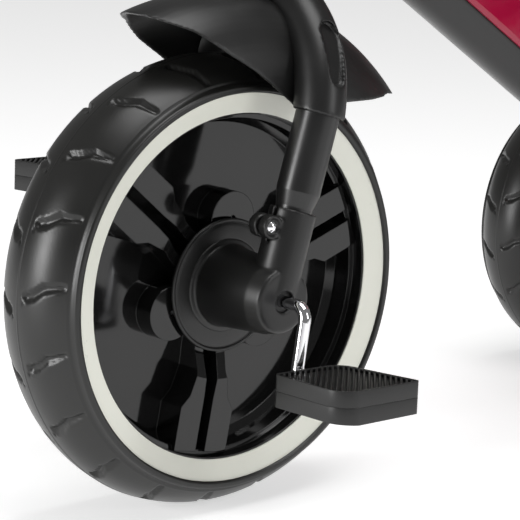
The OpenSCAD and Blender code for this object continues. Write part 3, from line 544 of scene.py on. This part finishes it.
def pedal_tread(outline, level, half_t):
    """One half of a pedal: its wall, a sunk floor inside the rim, and ribs up to the rim's top."""
    body = flat_face(outline, 0)
    bpy.ops.mesh.extrude_region_move(TRANSFORM_OT_translate={"value": (0, 0, level * half_t * mm)})
    bpy.ops.mesh.inset(thickness=1.5 * mm)
    bpy.ops.mesh.extrude_region_move(TRANSFORM_OT_translate={"value": (0, 0, -level * 2.6 * mm)})
    bpy.ops.mesh.select_all(action='SELECT')
    bpy.ops.mesh.normals_make_consistent(inside=False)
    bpy.ops.object.mode_set(mode='OBJECT')
    apply_modifier(body, 'BEVEL', width=0.5 * mm, segments=3, limit_method='ANGLE',
                   angle_limit=math.radians(50))
    long_way = (Vector(outline[32]) - Vector(outline[6])).normalized()
    across = Vector((-long_way.y, long_way.x))
    pitch, wide = 3.3, 1.5
    reach = 44
    ribs = []
    for i in range(-int(reach / pitch), int(reach / pitch) + 1):
        middle = long_way * (i * pitch)
        ends = [chord(outline, middle + long_way * d, across) for d in (-wide / 2, wide / 2)]
        if None in ends:
            continue
        near = max(e[0] for e in ends) + 1.2
        far = min(e[1] for e in ends) - 1.2
        if far - near < 1.5:
            continue
        centre = middle + across * (near + far) / 2
        bpy.ops.object.select_all(action='DESELECT')
        bpy.ops.mesh.primitive_cube_add(size=1 * mm, location=(centre.x * mm, centre.y * mm,
                                                               level * (half_t - 1.7) * mm))
        rib = bpy.context.object
        rib.scale = (far - near, wide, 2.8)
        rib.rotation_euler.z = math.atan2(across.y, across.x)
        select_only(rib)
        bpy.ops.object.transform_apply(location=True, rotation=True, scale=True)
        apply_modifier(rib, 'BEVEL', width=0.3 * mm, segments=2)
        ribs.append(rib)
    bpy.ops.object.select_all(action='DESELECT')
    for piece in [body, *ribs]:
        piece.select_set(True)
    bpy.context.view_layer.objects.active = body
    bpy.ops.object.join()
    return body


def swell_belly(piece, half_t):
    """Let the underside sag smoothly near its outer end."""
    for vertex in piece.data.vertices:
        x, y, z = (c / mm for c in vertex.co)
        if z < -half_t * 0.5:
            vertex.co.z -= 1.4 * mm * math.exp(-(((x + y) * 0.7 - 22) / 13) ** 2)


for label, turn in (("left", 0.0), ("right", math.pi)):
    low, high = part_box(f"pedal_{label}_upper")
    half_t = (high.z - low.z) / mm
    spindle = Vector(joints[f"pedal_{label}_spin"]["pos_m"])
    middle = Vector(((low.x + high.x) / 2, spindle.y, spindle.z))
    front, back = (spindle.y - low.y) / mm, (high.y - spindle.y) / mm
    if turn:
        front, back = back, front
    outline = pedal_outline((high.x - low.x) / 2 / mm, front, back)
    for level, part in ((1, "upper"), (-1, "lower")):
        half = pedal_tread(outline, level, half_t)
        if level < 0:
            swell_belly(half, half_t)
        half.location = middle
        half.rotation_euler.z = turn
        select_only(half)
        bpy.ops.object.shade_smooth_by_angle(angle=math.radians(35))
        hold_place(half, f"ribbed_pedal_{label}_{part}", satin_plastic, "charcoal_plastic",
                   f"pedal_{label}", f"pedal_{label}_{part}")
    bpy.ops.object.select_all(action='DESELECT')
    out = 1 if label == "left" else -1
    bpy.ops.mesh.primitive_cylinder_add(
        vertices=48, radius=7.5 * mm, depth=2.4 * mm, rotation=(0, math.pi / 2, 0),
        location=middle - Vector((out * ((high.x - low.x) / 2 + 1.1 * mm), 0, 0)))
    lug = bpy.context.object
    apply_modifier(lug, 'BEVEL', width=0.8 * mm, segments=3, limit_method='ANGLE')
    bpy.ops.object.shade_smooth_by_angle(angle=math.radians(35))
    hold_place(lug, f"pedal_lug_{label}", satin_plastic, "charcoal_plastic", f"pedal_{label}")


# ---------------------------------------------------------------- handlebar grips
# Soft rubber grips slid over the bar's ends, with finger ribs between a flange and a round end.
grip_rubber = finish("grip_rubber", (0.012, 0.012, 0.012), (0.022, 0.022, 0.022), (0.50, 0.62),
                     grain=1500, depth=0.00005, edge=0.0005, wear=0.1, dust=0.05)
for label, out in (("left", 1), ("right", -1)):
    points = np.array([v.co for v in nodes[f"grip_{label}"].data.vertices])
    middle = points.mean(axis=0)
    axis = Vector(np.linalg.svd(points - middle, full_matrices=False)[2][0])
    axis = axis if axis.x * out > 0 else -axis
    spans = (points - middle) @ np.array(axis)
    length = (spans.max() - spans.min()) / mm
    bore = 11.3
    section = [(bore, 0), (17.2, 0), (18.4, 1.2), (18.4, 3.6), (17.4, 4.9), (15.0, 6.2)]
    finger_ribs, points_per_rib, rib_radius, rib_height = 14, 6, 14.6, 0.75
    last = finger_ribs * points_per_rib - 1
    for i in range(last + 1):
        turned = math.tau * i / points_per_rib
        section.append((rib_radius + rib_height * math.cos(turned), 8 + (length - 20) * i / last))
    section += [(15.2, length - 9), (17.3, length - 7.2), (18.0, length - 5), (17.2, length - 2.2),
                (14.0, length - 0.6), (7.0, length), (0.0, length), (0.0, length - 3),
                (bore, length - 3)]
    grip = lathe(section, 72, Vector(middle) + axis * float(spans.min()))
    grip.rotation_euler = axis.to_track_quat('X', 'Z').to_euler()
    bpy.ops.object.shade_smooth_by_angle(angle=math.radians(60))
    hold_place(grip, f"ribbed_grip_{label}", grip_rubber, "grip_rubber", "fork", f"grip_{label}")


# ---------------------------------------------------------------- seat cushions
# Foam pads in a woven cover, sewn with two channels and piped along the edge, which swell
# against their stitching.
def build_weave():
    """Plain weave: two sets of threads that pass over and under each other."""
    g, given, result = new_group("weave", {"Threads": 900.0},
                                 {"Height": "NodeSocketFloat", "Thread": "NodeSocketFloat"})
    place = g.nodes.new("ShaderNodeTexCoord")
    parts = g.nodes.new("ShaderNodeSeparateXYZ")
    g.links.new(place.outputs["Object"], parts.inputs["Vector"])
    x = arithmetic(g, 'MULTIPLY', parts.outputs["X"], given.outputs["Threads"])
    lengthwise = arithmetic(g, 'ADD', parts.outputs["Y"], parts.outputs["Z"])
    y = arithmetic(g, 'MULTIPLY', lengthwise, given.outputs["Threads"])
    warp = arithmetic(g, 'SINE', x, 0.0)
    weft = arithmetic(g, 'SINE', y, 0.0)
    crossed = arithmetic(g, 'MULTIPLY', warp, weft)
    g.links.new(crossed, result.inputs["Height"])
    lifted = arithmetic(g, 'MULTIPLY', arithmetic(g, 'ADD', crossed, 1.0), 0.5)
    g.links.new(lifted, result.inputs["Thread"])
    return g


weave_group = build_weave()


def woven(name, dark, light, threads):
    m = bpy.data.materials.new(name)
    m.use_nodes = True
    tree = m.node_tree
    bsdf = tree.nodes["Principled BSDF"]
    cloth = place_group(tree, weave_group, Threads=threads)
    film = place_group(tree, dust_group, Amount=0.15)
    mottle = noise(tree, 30, 5, 0.6)
    colour = blend_colour(tree, cloth.outputs["Thread"], dark, light)
    colour = blend_colour(tree, arithmetic(tree, 'MULTIPLY', mottle, 0.3), colour, light)
    colour = blend_colour(tree, film.outputs["Dust"], colour, (0.30, 0.29, 0.27))
    tree.links.new(colour, bsdf.inputs["Base Color"])
    bump = tree.nodes.new("ShaderNodeBump")
    bump.inputs["Distance"].default_value = 0.0003
    bump.inputs["Strength"].default_value = 0.7
    tree.links.new(cloth.outputs["Height"], bump.inputs["Height"])
    tree.links.new(bump.outputs["Normal"], bsdf.inputs["Normal"])
    bsdf.inputs["Roughness"].default_value = 0.85
    bsdf.inputs["Sheen Weight"].default_value = 0.25
    bsdf.inputs["Sheen Roughness"].default_value = 0.4
    return m


seat_fabric = woven("seat_fabric", (0.018, 0.018, 0.020), (0.050, 0.050, 0.054), 2600)
piping_cloth = woven("seat_piping", (0.20, 0.004, 0.03), (0.32, 0.008, 0.05), 3200)


def swell(piece, cap, pressure):
    """Blow a closed pad up as cloth, letting no point move further than cap."""
    start = [v.co.copy() for v in piece.data.vertices]
    cloth = piece.modifiers.new("cloth", 'CLOTH')
    cloth.settings.use_pressure = True
    cloth.settings.uniform_pressure_force = pressure
    cloth.settings.effector_weights.gravity = 0
    cloth.settings.tension_stiffness = 20
    cloth.settings.bending_stiffness = 2
    steps = 20
    for step in range(1, steps + 1):
        bpy.context.scene.frame_set(step)
    select_only(piece)
    bpy.ops.object.modifier_apply(modifier=cloth.name)
    bpy.context.scene.frame_set(1)
    for vertex, was in zip(piece.data.vertices, start):
        move = vertex.co - was
        if move.length > cap:
            vertex.co = was + move.normalized() * cap


def in_frame(point, origin, across, up, out):
    away = point - origin
    return Vector((away.dot(across), away.dot(up), away.dot(out)))


def make_pad(name, node, channels):
    """A cushion in its CAD solid's space: out is its crowned face, up runs along its channels."""
    points = np.array([v.co for v in nodes[node].data.vertices])
    middle = Vector((points.min(axis=0) + points.max(axis=0)) / 2)
    across = Vector((1, 0, 0))
    if node == "seat_cushion":
        up, out = Vector((0, 1, 0)), Vector((0, 0, 1))
    else:
        lean = math.radians(14)
        up = Vector((0, math.sin(lean), math.cos(lean)))
        out = Vector((0, -math.cos(lean), math.sin(lean)))
    local = [in_frame(Vector(p), middle, across, up, out) for p in points]
    low = Vector([min(p[i] for p in local) for i in range(3)])
    high = Vector([max(p[i] for p in local) for i in range(3)])
    size = high - low
    shift = (low + high) / 2
    bpy.ops.object.select_all(action='DESELECT')
    bpy.ops.mesh.primitive_cube_add(size=1, location=(0, 0, 0))
    pad = bpy.context.object
    pad.scale = (size.x - 12 * mm, size.y - 12 * mm, size.z - 9 * mm)
    select_only(pad)
    bpy.ops.object.transform_apply(location=True, rotation=True, scale=True)
    apply_modifier(pad, 'BEVEL', width=8 * mm, segments=3)
    apply_modifier(pad, 'REMESH', mode='VOXEL', voxel_size=5 * mm)
    swell(pad, 7 * mm, 4.0)
    apply_modifier(pad, 'SUBSURF', levels=1, render_levels=1)
    apply_modifier(pad, 'SMOOTH', factor=0.5, iterations=3)
    half_x, half_y, half_z = size.x / 2, size.y / 2, size.z / 2
    channel_size = 4.5 * mm
    for vertex in pad.data.vertices:
        x, y, z = vertex.co
        if z > 0:
            # the crown falls to the sewn channels
            for channel in channels:
                away = abs(x - channel * half_x)
                sewn = math.exp(-(away / channel_size) ** 2)
                vertex.co.z -= channel_size * sewn * min(1, z / (4 * mm))
        vertex.co.x = max(-half_x, min(half_x, vertex.co.x))
        vertex.co.y = max(-half_y, min(half_y, vertex.co.y))
        vertex.co.z = max(-half_z, min(half_z, vertex.co.z))
    bpy.ops.object.shade_smooth()
    turn = Matrix((across, up, out)).transposed().to_4x4()
    pad.matrix_world = Matrix.Translation(middle + turn.to_3x3() @ shift) @ turn
    hold_place(pad, name, seat_fabric, "seat_fabric", "frame", node)
    # piping round the edge, a cord that follows the pad's own outline
    select_only(pad)
    bpy.ops.object.duplicate()
    piping = bpy.context.object
    for key in list(piping.keys()):
        del piping[key]
    edge = middle + turn.to_3x3() @ (shift + Vector((0, 0, half_z * 0.35)))
    bpy.ops.object.mode_set(mode='EDIT')
    bpy.ops.mesh.select_all(action='SELECT')
    bpy.ops.mesh.bisect(plane_co=edge, plane_no=out, clear_inner=True, clear_outer=True)
    bpy.ops.mesh.select_all(action='SELECT')
    bpy.ops.mesh.remove_doubles(threshold=1.5 * mm)
    bpy.ops.mesh.vertices_smooth(factor=0.5, repeat=6)
    bpy.ops.object.mode_set(mode='OBJECT')
    bpy.ops.object.convert(target='CURVE')
    piping = bpy.context.object
    piping.data.bevel_depth = 1.8 * mm
    piping.data.bevel_resolution = 3
    bpy.ops.object.convert(target='MESH')
    piping = bpy.context.object
    bpy.ops.object.shade_smooth()
    hold_place(piping, f"{name}_piping", piping_cloth, "crimson", "frame")


make_pad("sewn_seat_pad", "seat_cushion", (-0.34, 0.34))
make_pad("sewn_back_pad", "back_cushion", (-0.34, 0.34))
